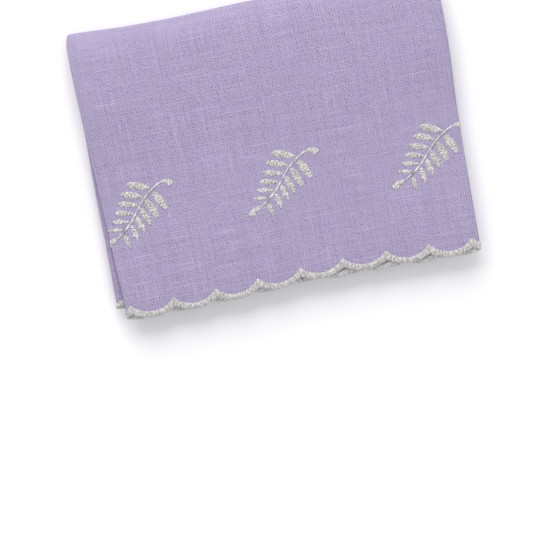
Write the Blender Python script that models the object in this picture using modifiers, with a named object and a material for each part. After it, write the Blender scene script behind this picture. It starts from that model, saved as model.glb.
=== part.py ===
"""Hand towel: one rectangle of linen with a scalloped, satin-stitched band on each end and a row of
stitched ferns above it. It is folded for a towel rail or a shelf: both long edges are turned in to
meet behind the middle, then the length is folded in half and in half again.

Every piece is modelled flat first, as it is cut: U runs across the towel, V runs along it from the
end that shows on top, and W is the height above the middle of the cloth, on its face side. One
function, fold(), then takes each flat point to its place in the folded towel.

World axes: +X to the right of the folded towel, +Y from its scalloped end to its folded end, +Z up.
The origin is on the face that it rests on. Lengths in the tables are in millimetres.
"""
import bisect
import math

import bmesh
import bpy
from mathutils import Matrix, Vector

MM = 0.001

# ---- Driving dimensions, in millimetres -----------------------------------------------------
SHEET_WIDTH = 356.0        # a 14 x 22 inch hand towel, a little shorter for being washed
SHEET_LENGTH = 542.0
PLY = 1.0                  # thickness of the cloth
PLY_PITCH = 1.3            # from the middle of one ply to the middle of the ply folded behind it
EDGES_APART = 1.5          # the two long edges, where they meet behind the panel
PIECE_GAP = 0.3            # between one piece and the next

SCALLOP_PITCH = 21.525
TOP_CUSP_AT = -0.3         # U of the cusp nearest the middle, on the end that shows on top
UNDER_CUSP_AT = 9.9        # and on the other end
INNER_SAGITTA = 5.0        # of the arc on the cloth's side of the band
OUTER_SAGITTA = 3.0        # of the arc on its outer side
BAND_AT_ARC = 2.8          # width of the band at the bottom of an arc
BAND_RAISED = 0.3          # the stitches stand this far above the cloth's face
STEEP_ARC = 1.5            # a gap along the cloth, over the same gap square to the steepest arc
STEPS_PER_SCALLOP = 8
COLUMNS_APART = 0.8        # mesh lines closer than this are made one

FERN_THICK = 0.4
FERNS = (
    # name            U      V     turn, of the middle of each fern
    ("fern_left",   -72.3,  52.1,   1.0),
    ("fern_middle",   0.1,  53.5,   0.6),
    ("fern_right",   72.2,  52.2,  -1.6),
)

FOLD_STEPS = 6             # flat facets round each folded long edge, an even number
ORIGIN_FROM_CUSPS = 67.0   # Y of the world origin, measured from the outer cusps of the top end
TWIST_PIVOT = (-88.0, 130.0)

# The folded towel's section along its length, from the top end to the under end, as the line
# midway between its two plies. "y" is measured from the outer cusps of the top end, "heading" is
# the way the line runs (0 is +Y, 90 is up), "left" and "right" are the half widths there, "twist"
# turns the layer about TWIST_PIVOT, and "rows" counts the mesh rows up to the next station.
STATIONS = (
    # name            y      z      heading  left  right  twist  rows
    ("hem_a",        -5.2,  10.2,      4.0,  88.8,  89.0,   0.0,  1),
    ("hem_a_crown",   5.8,  10.8,      1.0,  88.7,  89.4,   0.0,  2),
    ("flap_low",     30.0,  10.5,     -1.5,  89.6,  90.0,   0.0,  3),
    ("flap_middle",  65.0,   9.95,     0.0,  90.8,  91.2,   0.0,  4),
    ("crest",       108.0,  10.9,      0.0,  92.0,  93.6,   0.0,  4),
    ("shoulder",    130.5,   9.45,   -20.0,  92.3,  92.9,   0.0,  3),
    ("brow",        135.3,   7.2,    -42.0,  92.0,  92.6,   0.0,  4),
    ("outer_fold",  138.15,  4.0,    -90.0,  91.2,  92.4,   0.0,  4),
    ("floor_north", 134.9,   1.15,  -180.0,  90.8,  92.0,   0.0,  2),
    ("floor_middle", 70.0,   1.15,  -180.0,  90.2,  90.4,   0.0,  2),
    ("middle_under",  7.0,   1.15,  -180.0,  88.0,  88.9,   0.0,  3),
    ("middle_fold",   5.65,  2.5,   -270.0,  88.0,  88.9,   0.0,  3),
    ("middle_over",   7.0,   3.85,  -360.0,  88.0,  88.9,   0.0,  2),
    ("third_middle", 70.0,   3.95,  -360.0,  89.6,  90.2,   0.0,  2),
    ("inner_under", 130.0,   3.85,  -360.0,  90.8,  91.0,   0.0,  3),
    ("inner_fold",  131.35,  5.2,   -270.0,  90.8,  91.0,  -1.0,  3),
    ("inner_over",  130.0,   6.55,  -180.0,  90.8,  91.0,  -1.9,  3),
    ("second_middle", 70.0,  7.0,   -180.0,  90.3,  90.4,  -1.9,  2),
    ("second_low",   35.0,   6.9,   -180.0,  89.3,  90.0,  -1.9,  2),
    ("hem_b_crown",  11.4,   6.8,   -180.0,  88.7,  89.6,  -1.9,  1),
    ("hem_b",         0.4,   6.7,   -180.0,  88.6,  89.6,  -1.9,  0),
)
TAKES_UP_LENGTH = ("middle_under", "middle_fold", "middle_over")

# Where a hand has left the fold uneven: a soft push of the folded cloth round one point.
UNEVEN = (
    # name            station       x      half_width  reach  push_y  push_z
    ("top_hem_bow",   "hem_a",      22.0,  75.0,       60.0,   2.7,    0.0),
    ("top_corner",    "hem_a",     -89.0,  34.0,       34.0,   0.0,    0.9),
    ("under_corner",  "hem_b",     -89.0,  45.0,       50.0,   1.4,    0.0),
    ("fold_dip",      "outer_fold", -42.0, 45.0,       30.0,  -0.8,    0.0),
    ("fold_corner",   "outer_fold", -92.0, 30.0,       30.0,   0.9,    0.0),
)

# One fern, about its own middle. Its stem is a curve of even width that ends in a curved flare with
# a slanting cut. Leaflets are in pairs of unlike sides: each side runs in even steps from its first
# row (by the cut end of the stem) to its last (by the tip).
STEM = ((-13.3, -10.7), (-0.5, -4.1), (-0.6, 6.2), (14.1, 12.4))
STEM_WIDTH = 0.9
STEM_FLARES_AT = 0.92      # the share of the stem's curve that is of even width
FLARE_UPPER = ((13.0, 12.4), (17.5, 14.2), (19.9, 11.4))
FLARE_LOWER = ((13.0, 11.5), (16.6, 11.5), (17.4, 9.0))
FLARE_SHARES = (0.33, 0.67, 1.0)         # where the flare's outline has points
LEAFLETS_PER_SIDE = 6
LEAFLET_OFF_STEM = 1.1                   # from the middle of the stem to where a leaflet widens
LEAFLET_TO_STEM_POINT = 0.06             # from a leaflet to the stem's own next point
LEAFLETS = (
    # side     end      at    angle   length  width
    ("upper", "first",  0.85,  157.5,  11.2,   3.5),
    ("upper", "last",   0.13,  171.5,   7.0,   1.9),
    ("lower", "first",  0.85,  -65.0,  11.0,   3.3),
    ("lower", "last",   0.10,  -85.0,   6.7,   1.8),
)
TIP_LEAFLET = {"angle": 206.5, "length": 7.7, "width": 2.9}
LEAF_NECK = 0.55           # width of a leaflet where it leaves the stem
LEAF_SHAPES = {            # length and width, as shares: upper ones are widest far out
    "upper": ((0.14, 0.52), (0.38, 0.90), (0.62, 1.0), (0.88, 0.70)),
    "lower": ((0.14, 0.66), (0.38, 1.0), (0.62, 0.90), (0.88, 0.52)),
}

LINEN = (0.392, 0.342, 0.515, 1.0)
SILVER_THREAD = (0.68, 0.67, 0.62, 1.0)

# ---- Worked out from them ------------------------------------------------------------------
FOLD_RADIUS = PLY_PITCH / 2
FOLD_ARC = math.pi * FOLD_RADIUS
PANEL_HALF = (SHEET_WIDTH - 2 * FOLD_ARC + EDGES_APART) / 4        # the flat part of the panel
PANEL_EDGE = PANEL_HALF + FOLD_RADIUS + PLY / 2                    # to the outside of its folds
FOLD_EQUATOR = PANEL_HALF + FOLD_ARC / 2                           # U at the very edge
PATH_SAMPLES = 24          # per stretch between two stations
SAME_LINE = 0.01           # points closer than this are on one line of the mesh
SHARP_ANGLE = math.radians(35)


def bump(t):
    """A soft hump: 1 at t = 0, level there, and 0 from t = 1 outwards."""
    return math.cos(math.pi / 2 * min(abs(t), 1.0)) ** 2


def station_curve(start, end):
    """Sample the curve that leaves one station along its heading and meets the next along its own.
    Its handles are those of a round arc, so two stations a quarter turn apart make a quarter
    circle."""
    turn = math.radians(end["heading"] - start["heading"])
    chord = math.hypot(end["y"] - start["y"], end["z"] - start["z"])
    share = 1 / 3 if abs(turn) < 0.001 else 2 / 3 * math.tan(turn / 4) / math.sin(turn / 2)
    handle = chord * share
    leave, meet = math.radians(start["heading"]), math.radians(end["heading"])
    p0 = Vector((start["y"], start["z"]))
    p3 = Vector((end["y"], end["z"]))
    p1 = p0 + handle * Vector((math.cos(leave), math.sin(leave)))
    p2 = p3 - handle * Vector((math.cos(meet), math.sin(meet)))
    samples = []
    for step in range(PATH_SAMPLES + 1):
        t = step / PATH_SAMPLES
        point = (1 - t) ** 3 * p0 + 3 * t * (1 - t) ** 2 * p1 + 3 * t * t * (1 - t) * p2 + t ** 3 * p3
        slope = (1 - t) ** 2 * (p1 - p0) + 2 * t * (1 - t) * (p2 - p1) + t * t * (p3 - p2)
        samples.append((point, slope.normalized()))
    return samples


class Section:
    """The folded section as a path: V along the cloth gives the place, the way and the widths."""

    def __init__(self):
        columns = ("name", "y", "z", "heading", "left", "right", "twist", "rows")
        self.stations = [dict(zip(columns, row)) for row in STATIONS]
        spare = self.trace() - SHEET_LENGTH
        for station in self.stations:
            if station["name"] in TAKES_UP_LENGTH:
                station["y"] += spare / 2
        self.trace()

    def trace(self):
        """Walk the path once, keep its samples, and return its length."""
        self.lengths, self.points, self.slopes = [0.0], [], []
        self.stations[0]["v"] = 0.0
        for start, end in zip(self.stations, self.stations[1:]):
            samples = station_curve(start, end)
            if not self.points:
                self.points.append(samples[0][0])
                self.slopes.append(samples[0][1])
            for point, slope in samples[1:]:
                self.lengths.append(self.lengths[-1] + (point - self.points[-1]).length)
                self.points.append(point)
                self.slopes.append(slope)
            end["v"] = self.lengths[-1]
        return self.lengths[-1]

    def v_of(self, name):
        return next(station["v"] for station in self.stations if station["name"] == name)

    def rows(self):
        """The V of every mesh row between the two hem rows."""
        rows = []
        for start, end in zip(self.stations, self.stations[1:]):
            for row in range(start["rows"]):
                rows.append(start["v"] + (end["v"] - start["v"]) * row / start["rows"])
        return rows[1:]

    def place(self, v):
        """The point and the direction of the path at V."""
        index = min(max(bisect.bisect_right(self.lengths, v), 1), len(self.lengths) - 1)
        before, after = self.lengths[index - 1], self.lengths[index]
        t = (v - before) / (after - before)
        point = self.points[index - 1].lerp(self.points[index], t)
        return point, self.slopes[index - 1].lerp(self.slopes[index], t).normalized()

    def trend(self, index, column):
        """How fast a column changes at a station, from the stations on either side of it."""
        before = self.stations[max(index - 1, 0)]
        after = self.stations[min(index + 1, len(self.stations) - 1)]
        return (after[column] - before[column]) / (after["v"] - before["v"])

    def blend(self, v, column):
        """A column of the table at V, on a smooth curve through the stations."""
        index = next((i for i, end in enumerate(self.stations[1:]) if v <= end["v"]),
                     len(self.stations) - 2)
        start, end = self.stations[index], self.stations[index + 1]
        span = end["v"] - start["v"]
        t = min(max((v - start["v"]) / span, 0.0), 1.0)
        from_start = self.trend(index, column) * span * t * (1 - t) ** 2
        from_end = self.trend(index + 1, column) * span * t * t * (1 - t)
        ease = t * t * (3 - 2 * t)
        return start[column] + (end[column] - start[column]) * ease + from_start - from_end


SECTION = Section()


def turn_in(u, w):
    """Fold the long edges behind the panel: (u, w) to X and the height off the section's line."""
    side = math.copysign(1.0, u)
    past = abs(u) - PANEL_HALF
    radius = FOLD_RADIUS + w
    if past <= 0:
        return u, radius
    if past < FOLD_ARC:
        angle = past / FOLD_RADIUS
        return side * (PANEL_HALF + radius * math.sin(angle)), radius * math.cos(angle)
    return side * (PANEL_HALF - (past - FOLD_ARC)), -radius


def fold(flat):
    """Take a point of the flat towel (u, v, w), in millimetres, to the folded towel, in metres."""
    u, v, w = flat
    x, height = turn_in(u, w)
    point, slope = SECTION.place(v)
    y = point.x - slope.y * height
    z = point.y + slope.x * height
    half = SECTION.blend(v, "left" if x < 0 else "right")
    x *= half / PANEL_EDGE
    pivot = Vector(TWIST_PIVOT)
    twist = Matrix.Rotation(math.radians(SECTION.blend(v, "twist")), 2)
    x, y = pivot + twist @ (Vector((x, y)) - pivot)
    for _, station, at, half_width, reach, push_y, push_z in UNEVEN:
        share = bump((x - at) / half_width) * bump((v - SECTION.v_of(station)) / reach)
        y += share * push_y
        z += share * push_z
    return Vector((x, y - ORIGIN_FROM_CUSPS, z)) * MM


# ---- Making flat pieces and folding them --------------------------------------------------
def make_collection(name):
    collection = bpy.data.collections.new(name)
    bpy.context.scene.collection.children.link(collection)
    return collection


def make_material(name, colour, roughness):
    material = bpy.data.materials.new(name)
    material.use_nodes = True
    shader = material.node_tree.nodes["Principled BSDF"]
    shader.inputs["Base Color"].default_value = colour
    shader.inputs["Roughness"].default_value = roughness
    shader.inputs["Metallic"].default_value = 0.0
    return material


def grid_object(name, columns, rows):
    """A flat grid with its lines at the given U and V, counted from low to high."""
    mesh = bpy.data.meshes.new(name)
    grid = bmesh.new()
    bmesh.ops.create_grid(grid, x_segments=len(columns) - 1, y_segments=len(rows) - 1, size=1)
    for vert in grid.verts:
        column = round((vert.co.x + 1) / 2 * (len(columns) - 1))
        row = round((vert.co.y + 1) / 2 * (len(rows) - 1))
        vert.co = (columns[column], rows[row], 0)
    grid.to_mesh(mesh)
    grid.free()
    return bpy.data.objects.new(name, mesh)


def thicken(obj, below, above):
    """Solidify a flat sheet from W = -below to W = above."""
    solid = obj.modifiers.new("Thickness", "SOLIDIFY")
    solid.thickness = below + above
    solid.offset = (above - below) / (above + below)


def settle(obj):
    """Turn an object, with its modifiers or its curve's fill, into the plain mesh that it shows."""
    bpy.context.scene.collection.objects.link(obj)
    bpy.context.view_layer.update()
    shown = obj.evaluated_get(bpy.context.evaluated_depsgraph_get())
    mesh = bpy.data.meshes.new_from_object(shown)
    bpy.data.objects.remove(obj)
    return mesh


def fold_piece(name, mesh, collection, material):
    """Fold a flat piece's mesh, and put it in the towel."""
    for vert in mesh.vertices:
        vert.co = fold(vert.co)
    mesh.materials.clear()
    mesh.materials.append(material)
    mesh.shade_smooth()
    mesh.set_sharp_from_angle(angle=SHARP_ANGLE)
    collection.objects.link(bpy.data.objects.new(name, mesh))


# ---- The scalloped edge -------------------------------------------------------------------
def scallop_arc(u, sagitta, cusp_at):
    """How far the scallops hang below their cusps at U, as round arcs."""
    chord = SCALLOP_PITCH / 2
    radius = (chord ** 2 + sagitta ** 2) / (2 * sagitta)
    from_middle = (u - cusp_at) % SCALLOP_PITCH - chord
    return math.sqrt(radius ** 2 - from_middle ** 2) - (radius - sagitta)


def band_outside(u, cusp_at):
    return OUTER_SAGITTA - scallop_arc(u, OUTER_SAGITTA, cusp_at)


def band_inside(u, cusp_at):
    return BAND_AT_ARC + INNER_SAGITTA - scallop_arc(u, INNER_SAGITTA, cusp_at)


def cloth_end(u, cusp_at):
    """Where the cloth stops: inside the band, by the gap measured square to the steep arcs."""
    return band_inside(u, cusp_at) + STEEP_ARC * PIECE_GAP


def fixed_columns():
    """U of both long edges, and of the facet lines round the folds beside the panel."""
    half = SHEET_WIDTH / 2
    steps = [PANEL_HALF + FOLD_ARC * step / FOLD_STEPS for step in range(FOLD_STEPS + 1)]
    return [-half] + [-u for u in steps] + steps + [half]


def even_columns(pitch, first):
    """Evenly spaced U from edge to edge, one of them at first."""
    half = SHEET_WIDTH / 2
    lowest, highest = math.ceil((-half - first) / pitch), math.floor((half - first) / pitch)
    return [first + pitch * step for step in range(lowest, highest + 1)]


def joined_columns(first, *groups):
    """The first columns and, of each later group, those that lie clear of the ones before it."""
    kept = list(first)
    for group in groups:
        kept += [u for u in group if all(abs(u - other) > COLUMNS_APART for other in kept)]
    return sorted(kept)


def cloth_columns():
    return joined_columns(fixed_columns(), even_columns(SCALLOP_PITCH, TOP_CUSP_AT))


def band_columns(cusp_at):
    return joined_columns(cloth_columns(), even_columns(SCALLOP_PITCH, cusp_at),
                          even_columns(SCALLOP_PITCH / STEPS_PER_SCALLOP, cusp_at))


# ---- Pieces -------------------------------------------------------------------------------
def split_end(grid, v_row, cusp_at, edge_of):
    """Split the end row's edges at the band's columns, and set them on the scallops."""
    def in_row(vert):
        return abs(vert.co.y - v_row) < SAME_LINE

    columns = band_columns(cusp_at)
    for edge in [edge for edge in grid.edges if all(in_row(vert) for vert in edge.verts)]:
        low, high = sorted(vert.co.x for vert in edge.verts)
        inside = [u for u in columns if low + SAME_LINE < u < high - SAME_LINE]
        if inside:
            bmesh.ops.subdivide_edges(grid, edges=[edge], cuts=len(inside))
    row = sorted((vert for vert in grid.verts if in_row(vert)), key=lambda vert: vert.co.x)
    for vert, u in zip(row, columns, strict=True):
        vert.co = (u, edge_of(u, cusp_at), 0)


def far(edge_of):
    """The same edge at the far end of the sheet."""
    return lambda u, cusp_at: SHEET_LENGTH - edge_of(u, cusp_at)


def make_cloth(collection, material):
    rows = [0.0] + SECTION.rows() + [SHEET_LENGTH]
    obj = grid_object("towel_cloth", cloth_columns(), rows)
    grid = bmesh.new()
    grid.from_mesh(obj.data)
    split_end(grid, 0.0, TOP_CUSP_AT, cloth_end)
    split_end(grid, SHEET_LENGTH, UNDER_CUSP_AT, far(cloth_end))
    grid.to_mesh(obj.data)
    grid.free()
    thicken(obj, PLY / 2, PLY / 2)
    fold_piece("towel_cloth", settle(obj), collection, material)


def make_band(name, cusp_at, low_edge, high_edge, collection, material):
    """A flat strip one cell deep, its lower and upper edges set on their scallops."""
    obj = grid_object(name, band_columns(cusp_at), (0.0, 1.0))
    for vert in obj.data.vertices:
        edge_of = high_edge if vert.co.y > 0.5 else low_edge
        vert.co.y = edge_of(vert.co.x, cusp_at)
    thicken(obj, PLY / 2, PLY / 2 + BAND_RAISED)
    fold_piece(name, settle(obj), collection, material)


def bezier(points, t):
    p0, p1, p2, p3 = (Vector(point) for point in points)
    return (1 - t) ** 3 * p0 + 3 * t * (1 - t) ** 2 * p1 + 3 * t * t * (1 - t) * p2 + t ** 3 * p3


def quadratic(points, t):
    p0, p1, p2 = (Vector(point) for point in points)
    return (1 - t) ** 2 * p0 + 2 * t * (1 - t) * p1 + t * t * p2


def off_stem(t, off):
    """A point at t along the stem, from its tip (0) to its cut end (1), moved square to it by off."""
    along = (bezier(STEM, min(t + 0.01, 1.0)) - bezier(STEM, max(t - 0.01, 0.0))).normalized()
    return bezier(STEM, t) + off * Vector((-along.y, along.x))


def leaflet(foot, base, shape, angle, length, width):
    """One leaflet's outline, anticlockwise from its neck on the stem round its tip and back."""
    out = Vector((math.cos(math.radians(angle)), math.sin(math.radians(angle))))
    across = Vector((-out.y, out.x))
    sides = [[base + length * part * out + side * width / 2 * share * across
              for part, share in LEAF_SHAPES[shape]] for side in (-1, 1)]
    neck = LEAF_NECK / 2 * across
    return [foot - neck] + sides[0] + [base + length * out] + sides[1][::-1] + [foot + neck]


def leaflet_rows(side):
    """The leaflets of one side as (t, angle, length, width), from the stem's cut end to its tip."""
    first, last = (row[2:] for row in LEAFLETS if row[0] == side)
    for index in range(LEAFLETS_PER_SIDE):
        share = index / (LEAFLETS_PER_SIDE - 1)
        yield tuple(a + (b - a) * share for a, b in zip(first, last))


def side_leaflets(side, hand):
    """The stem's next point and the outline of each leaflet of one side; hand is +1 or -1."""
    edge = hand * STEM_WIDTH / 2
    for t, *sizes in leaflet_rows(side):
        outline = leaflet(off_stem(t, edge), off_stem(t, hand * LEAFLET_OFF_STEM), side, *sizes)
        yield off_stem(t - LEAFLET_TO_STEM_POINT, edge), outline


def fern_outline():
    """One closed outline, anticlockwise: down the upper side to the tip, and back by the lower."""
    outline = [off_stem(STEM_FLARES_AT, STEM_WIDTH / 2)]
    for next_point, points in side_leaflets("upper", 1):
        outline += points + [next_point]
    tip = bezier(STEM, 0.0)
    outline += leaflet(tip, tip, "upper", **TIP_LEAFLET)
    for next_point, points in reversed(list(side_leaflets("lower", -1))):
        outline += [next_point] + points
    outline.append(off_stem(STEM_FLARES_AT, -STEM_WIDTH / 2))
    outline += [quadratic(FLARE_LOWER, share) for share in FLARE_SHARES]
    return outline + [quadratic(FLARE_UPPER, share) for share in reversed(FLARE_SHARES)]


def cut_at_fold(piece):
    """Cut a fern off at the very edge of the fold, and give it facet lines round the bend."""
    facets = FOLD_STEPS // 2
    for side in (-1, 1):
        for facet in range(facets + 1):
            at = PANEL_HALF + (FOLD_EQUATOR - PANEL_HALF) * facet / facets
            cut = bmesh.ops.bisect_plane(piece, geom=piece.verts[:] + piece.edges[:] + piece.faces[:],
                                         plane_co=(side * at, 0, 0), plane_no=(side, 0, 0),
                                         clear_outer=facet == facets)
        rim = [item for item in cut["geom_cut"] if isinstance(item, bmesh.types.BMEdge)]
        bmesh.ops.holes_fill(piece, edges=rim)


def drawn_fern(name, middle, turn):
    """The fern's outline at its place on the flat towel, as a filled 2D curve with a thickness."""
    curve = bpy.data.curves.new(name, "CURVE")
    curve.dimensions = "2D"
    curve.fill_mode = "BOTH"
    curve.extrude = FERN_THICK / 2
    points = fern_outline()
    spline = curve.splines.new("POLY")
    spline.points.add(len(points) - 1)
    turned = Matrix.Rotation(math.radians(turn), 2)
    for target, point in zip(spline.points, points):
        target.co = (*(middle + turned @ point), 0, 1)
    spline.use_cyclic_u = True
    return bpy.data.objects.new(name, curve)


def make_fern(name, middle, turn, collection, material):
    """Weld the drawn fern, lift it clear of the cloth's face, cut it at the fold, and fold it."""
    mesh = settle(drawn_fern(name, middle, turn))
    piece = bmesh.new()
    piece.from_mesh(mesh)
    bmesh.ops.remove_doubles(piece, verts=piece.verts, dist=0.0001)
    bmesh.ops.translate(piece, verts=piece.verts, vec=(0, 0, PLY / 2 + PIECE_GAP + FERN_THICK / 2))
    cut_at_fold(piece)
    bmesh.ops.recalc_face_normals(piece, faces=piece.faces)
    piece.to_mesh(mesh)
    piece.free()
    fold_piece(name, mesh, collection, material)


def main():
    for old in list(bpy.data.objects):
        bpy.data.objects.remove(old)
    towel = make_collection("hand_towel")
    linen = make_material("lavender_linen", LINEN, 0.9)
    thread = make_material("silver_thread", SILVER_THREAD, 0.5)
    make_cloth(towel, linen)
    make_band("scallop_border_a", TOP_CUSP_AT, band_outside, band_inside, towel, thread)
    make_band("scallop_border_b", UNDER_CUSP_AT, far(band_inside), far(band_outside), towel, thread)
    for name, u, v, turn in FERNS:
        make_fern(name, Vector((u, v)), turn, towel, thread)


main()
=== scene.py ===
# %% [markdown]
# # A folded linen hand towel
# The object is one rectangle of lavender linen. Each short end has a scalloped edge overcast in
# silver-grey thread, and a row of stitched ferns stands above it. It lies folded for a rail: both
# long edges are turned in behind the middle, and the length is folded in four.
# The lesson works as a maker does. Everything is first laid out flat, where sizes are easy to
# check, and one function then folds the cloth and all that is sewn on it together.

# %% Load the frame
import bisect
import math
import random

import bmesh
import bpy
from mathutils import Matrix, Vector, noise


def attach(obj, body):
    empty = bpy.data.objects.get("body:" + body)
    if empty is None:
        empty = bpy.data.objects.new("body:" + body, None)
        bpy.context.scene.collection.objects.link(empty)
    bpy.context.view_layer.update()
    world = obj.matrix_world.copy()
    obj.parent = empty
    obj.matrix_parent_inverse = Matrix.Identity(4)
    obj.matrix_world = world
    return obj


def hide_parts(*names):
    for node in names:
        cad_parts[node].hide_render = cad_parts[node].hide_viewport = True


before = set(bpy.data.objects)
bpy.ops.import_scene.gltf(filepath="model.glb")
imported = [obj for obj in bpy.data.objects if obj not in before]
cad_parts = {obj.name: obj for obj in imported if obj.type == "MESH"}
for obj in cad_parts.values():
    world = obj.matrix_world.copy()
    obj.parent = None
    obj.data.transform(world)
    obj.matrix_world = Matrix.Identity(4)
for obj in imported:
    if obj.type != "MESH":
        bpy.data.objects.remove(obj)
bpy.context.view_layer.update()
MM = 0.001
print("solids to dress:", ", ".join(sorted(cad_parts)))

# %% [markdown]
# ## The camera
# The towel is seen from straight above, turned a little clockwise from the picture's edges. A long
# lens from a fair height keeps the folded layers from spreading in perspective, as in a catalogue
# picture. The picture is taken to be 533 pixels square, and 2.03 of them cover one millimetre.

# %% Place the camera over the towel
PICTURE_PIXELS = 533
PIXELS_PER_MM = 2.03
PICTURE_TURN = 11.2                   # degrees from the picture's upright to the towel's
PICTURE_CENTRE = (-16.3, -58.7)       # the towel's X and Y at the middle of the picture
CAMERA_HEIGHT = 1200.0                # above the uppermost cloth
TOP_OF_CLOTH = 11.0

view = bpy.data.cameras.new("picture_camera")
view.sensor_width = 36.0
view.lens = view.sensor_width * CAMERA_HEIGHT / (PICTURE_PIXELS / PIXELS_PER_MM)
view.clip_start, view.clip_end = 0.02, 20.0
camera = bpy.data.objects.new("picture_camera", view)
camera.location = (PICTURE_CENTRE[0] * MM, PICTURE_CENTRE[1] * MM, (CAMERA_HEIGHT + TOP_OF_CLOTH) * MM)
camera.rotation_euler = (0.0, 0.0, math.radians(-PICTURE_TURN))
bpy.context.scene.collection.objects.link(camera)
bpy.context.scene.camera = camera
print(f"lens {view.lens:.1f} mm, {CAMERA_HEIGHT:.0f} mm up")

# %% [markdown]
# ## Colours and nodes
# Colours are picked as sRGB hex values, the way a picture editor shows them, and shaders want them
# linear, so one function turns them. A second one adds a shader node with its settings and links,
# which keeps each material readable from top to bottom. Two more mix colours and start a material.

# %% Helpers for materials
bpy.context.scene.view_settings.view_transform = "Standard"


def linear(hex_colour):
    """An sRGB hex value such as 'AB9FBF' as linear red, green, blue and alpha."""
    parts = [int(hex_colour[i:i + 2], 16) / 255 for i in (0, 2, 4)]
    return [c / 12.92 if c <= 0.04045 else ((c + 0.055) / 1.055) ** 2.4 for c in parts] + [1.0]


def add_node(tree, kind, settings=None, **sockets):
    """Add a node. A socket is given by name, with _ for a space, or as in0, in1 by its place; its
    value is a number, a colour, or another node's output to link from."""
    node = tree.nodes.new(kind)
    for name, value in (settings or {}).items():
        setattr(node, name, value)
    for name, value in sockets.items():
        place = int(name[2:]) if name[:2] == "in" and name[2:].isdigit() else name.replace("_", " ")
        if isinstance(value, bpy.types.NodeSocket):
            tree.links.new(value, node.inputs[place])
        else:
            node.inputs[place].default_value = value
    return node


def mix_colours(tree, share, first, second, clamp=True):
    """The output of a node that goes from the first colour to the second as the share goes up."""
    return add_node(tree, "ShaderNodeMix", {"data_type": "RGBA", "clamp_factor": clamp},
                    in0=share, in6=first, in7=second).outputs[2]


def new_material(name, **constants):
    """A Principled material with some constants set: itself, its node tree and its shader."""
    material = bpy.data.materials.new(name)
    material.use_nodes = True
    shader = material.node_tree.nodes["Principled BSDF"]
    for socket, value in constants.items():
        shader.inputs[socket.replace("_", " ")].default_value = value
    return material, material.node_tree, shader


# %% [markdown]
# ## Floor and light
# A plain white sheet of paper lies under the towel. The light is a large soft panel beyond the
# folded end, fairly low, so the rounded fold is bright and the weave and stitches cast short
# shadows towards the scalloped end. A weaker panel in front of the scallops and a white surround
# fill those shadows until they are pale.

# %% Paper floor
def floor_paper():
    """Matt white paper: a rough surface with the faintest cloudiness of its fibres."""
    material, tree, shader = new_material("matt_white_paper", Roughness=0.9, Specular_IOR_Level=0.2)
    place = add_node(tree, "ShaderNodeTexCoord")
    fibres = add_node(tree, "ShaderNodeTexNoise", Vector=place.outputs["Object"], Scale=9.0, Detail=4.0)
    tint = mix_colours(tree, fibres.outputs["Fac"], linear("F4F4F6"), linear("FAFAFB"))
    tree.links.new(tint, shader.inputs["Base Color"])
    return material


def object_from(piece, name, material):
    """Keep a bmesh as a new object at the origin, smooth, with its material."""
    mesh = bpy.data.meshes.new(name)
    piece.to_mesh(mesh)
    piece.free()
    mesh.materials.append(material)
    mesh.shade_smooth()
    made = bpy.data.objects.new(name, mesh)
    bpy.context.scene.collection.objects.link(made)
    return made


FLOOR_HALF = 2.5                      # in metres

paper = bmesh.new()
bmesh.ops.create_grid(paper, x_segments=1, y_segments=1, size=FLOOR_HALF)
floor = object_from(paper, "floor", floor_paper())
print(f"floor laid, {2 * FLOOR_HALF:.0f} m square")

# %% Soft light from beyond the fold, and a white surround
PANEL_SIZE, PANEL_DISTANCE = 1.4, 1.7         # in metres, for both panels
PANELS = (
    # name          watts  azimuth  elevation  colour
    ("key_panel",   26.0,   96.0,   38.0,      "FFFDFA"),
    ("front_panel",  6.0,  -70.0,   50.0,      "FBFBFF"),
)
SURROUND_COLOUR, SURROUND_STRENGTH = "FCFCFF", 0.62


def soft_panel(name, watts, azimuth, elevation, colour):
    """A square light panel that faces the towel. Azimuth 90 is beyond the folded end."""
    lamp = bpy.data.lights.new(name, "AREA")
    lamp.shape, lamp.size, lamp.energy = "SQUARE", PANEL_SIZE, watts
    lamp.color = linear(colour)[:3]
    around, up = math.radians(azimuth), math.radians(elevation)
    out = Vector((math.cos(around) * math.cos(up), math.sin(around) * math.cos(up), math.sin(up)))
    panel = bpy.data.objects.new(name, lamp)
    panel.location = out * PANEL_DISTANCE
    panel.rotation_euler = out.to_track_quat("Z", "Y").to_euler()
    bpy.context.scene.collection.objects.link(panel)


for row in PANELS:
    soft_panel(*row)

surround = bpy.data.worlds.new("white_surround")
surround.use_nodes = True
background = surround.node_tree.nodes["Background"]
background.inputs["Color"].default_value = linear(SURROUND_COLOUR)
background.inputs["Strength"].default_value = SURROUND_STRENGTH
bpy.context.scene.world = surround
print("two soft panels and a white surround")

# %% [markdown]
# ## The cloth laid flat
# A hand towel of this kind is sold as 14 by 22 inches, and is a little shorter once washed. On the
# flat cloth, U runs across from the middle, V runs along from the end that shows on top, and W is
# the height above the middle of the cloth on its good side. All three are in millimetres.

# %% Sizes of the flat cloth
SHEET_WIDTH, SHEET_LENGTH = 356.0, 542.0
CLOTH_THICK = 0.7                     # as drawn; a plain linen of this weight is nearer 0.5
FACE = CLOTH_THICK / 2                # W of the good side
SCALLOP_PITCH = 21.525
CUSP_AT = {"top": -0.3, "under": 9.9}         # U of the cusp nearest the middle, on each end
print(f"cloth {SHEET_WIDTH:.0f} x {SHEET_LENGTH:.0f} mm, {SHEET_WIDTH / SCALLOP_PITCH:.1f} scallops")

# %% [markdown]
# ## The folded section
# Seen from its side, the folded towel is one line that runs to and fro: the flap on top, the big
# outer fold, the layer on the floor, the fold under the scallops, the third layer, the inner fold,
# and the second layer, whose scallops peep out. The table gives places on that line and its
# heading there, and round arcs or easy curves join them. The widths and the small twist of the
# last layer are there too, because a hand never folds quite square.

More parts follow.
